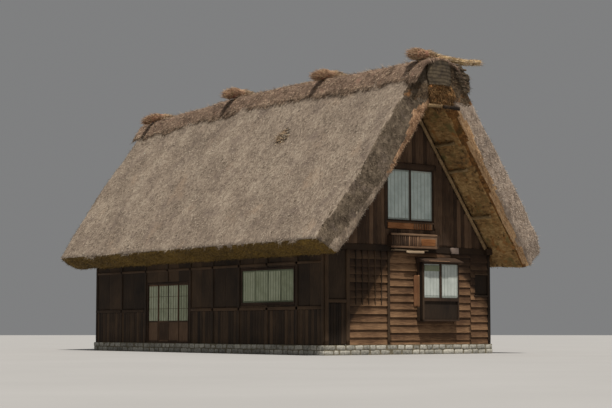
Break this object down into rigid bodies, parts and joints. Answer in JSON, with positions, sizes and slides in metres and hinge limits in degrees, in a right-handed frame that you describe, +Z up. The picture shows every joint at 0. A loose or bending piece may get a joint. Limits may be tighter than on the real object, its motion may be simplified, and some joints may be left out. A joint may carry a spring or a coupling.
{
  "type": "minka farmhouse",
  "caption": "Timber farmhouse with a steep straw-thatched gable roof, a boarded ground storey, an attic storey behind the gable and a bay window.",
  "frame": {"origin": "centre of the footprint on the ground", "axes": "+Y along the ridge towards the back gable, the front gable faces -Y, the entrance side faces -X, +Z up"},
  "size_m": [8.86, 16.78, 9.3743],
  "materials": {
    "stone": "rough field stone with earth",
    "timber": "round and sawn timber, smoked brown",
    "weathered_timber": "old cedar boards, dry and matt",
    "fresh_board": "newer cedar board, orange brown, matt",
    "pale_board": "bleached board, matt",
    "thatch": "weathered straw thatch, combed downwards",
    "old_thatch": "dark ridge mat of old straw",
    "straw_bundle": "pale straw tied with rope",
    "window_panel": "white paper behind thin bars, matt"
  },
  "bodies": {
    "root": {"stone_base": "stone", "ground_floor": "timber", "front_left_post": "weathered_timber", "back_left_post": "weathered_timber", "front_right_post": "weathered_timber", "back_right_post": "weathered_timber", "front_wall": "weathered_timber", "back_wall": "weathered_timber", "right_wall": "weathered_timber", "left_wall": "weathered_timber", "left_plate": "timber", "right_plate": "timber", "front_belt": "weathered_timber", "back_belt": "weathered_timber", "tie_beam_1": "timber", "tie_beam_2": "timber", "attic_floor": "timber", "front_gable_wall": "weathered_timber", "back_gable_wall": "weathered_timber", "front_rafters": "timber", "back_rafters": "timber", "inner_rafters_1": "timber", "inner_rafters_2": "timber", "left_purlin_1": "timber", "left_purlin_2": "timber", "left_purlin_3": "timber", "right_purlin_1": "timber", "right_purlin_2": "timber", "right_purlin_3": "timber", "ridge_pole": "timber", "thatch_left": "thatch", "thatch_right": "thatch", "ridge_cap": "old_thatch", "ridge_bundle_1": "straw_bundle", "ridge_bundle_2": "straw_bundle", "ridge_bundle_3": "straw_bundle", "ridge_bundle_4": "straw_bundle", "front_upper_window_frame": "weathered_timber", "front_upper_left_panel": "window_panel", "front_upper_right_panel": "window_panel", "back_upper_window_frame": "weathered_timber", "back_upper_panels": "window_panel", "front_apron": "fresh_board", "front_slat_box": "timber", "front_ledge": "pale_board", "bay_frame": "fresh_board", "bay_left_panel": "window_panel", "bay_right_panel": "window_panel", "bay_lower_panel": "weathered_timber", "bay_hood": "weathered_timber", "back_lower_window_frame": "weathered_timber", "back_lower_panels": "window_panel", "left_window_frame": "weathered_timber", "left_window_panels": "window_panel", "right_window_frame": "weathered_timber", "right_window_panels": "window_panel", "entrance_frame": "weathered_timber", "entrance_panels": "window_panel"}
  },
  "joints": []
}
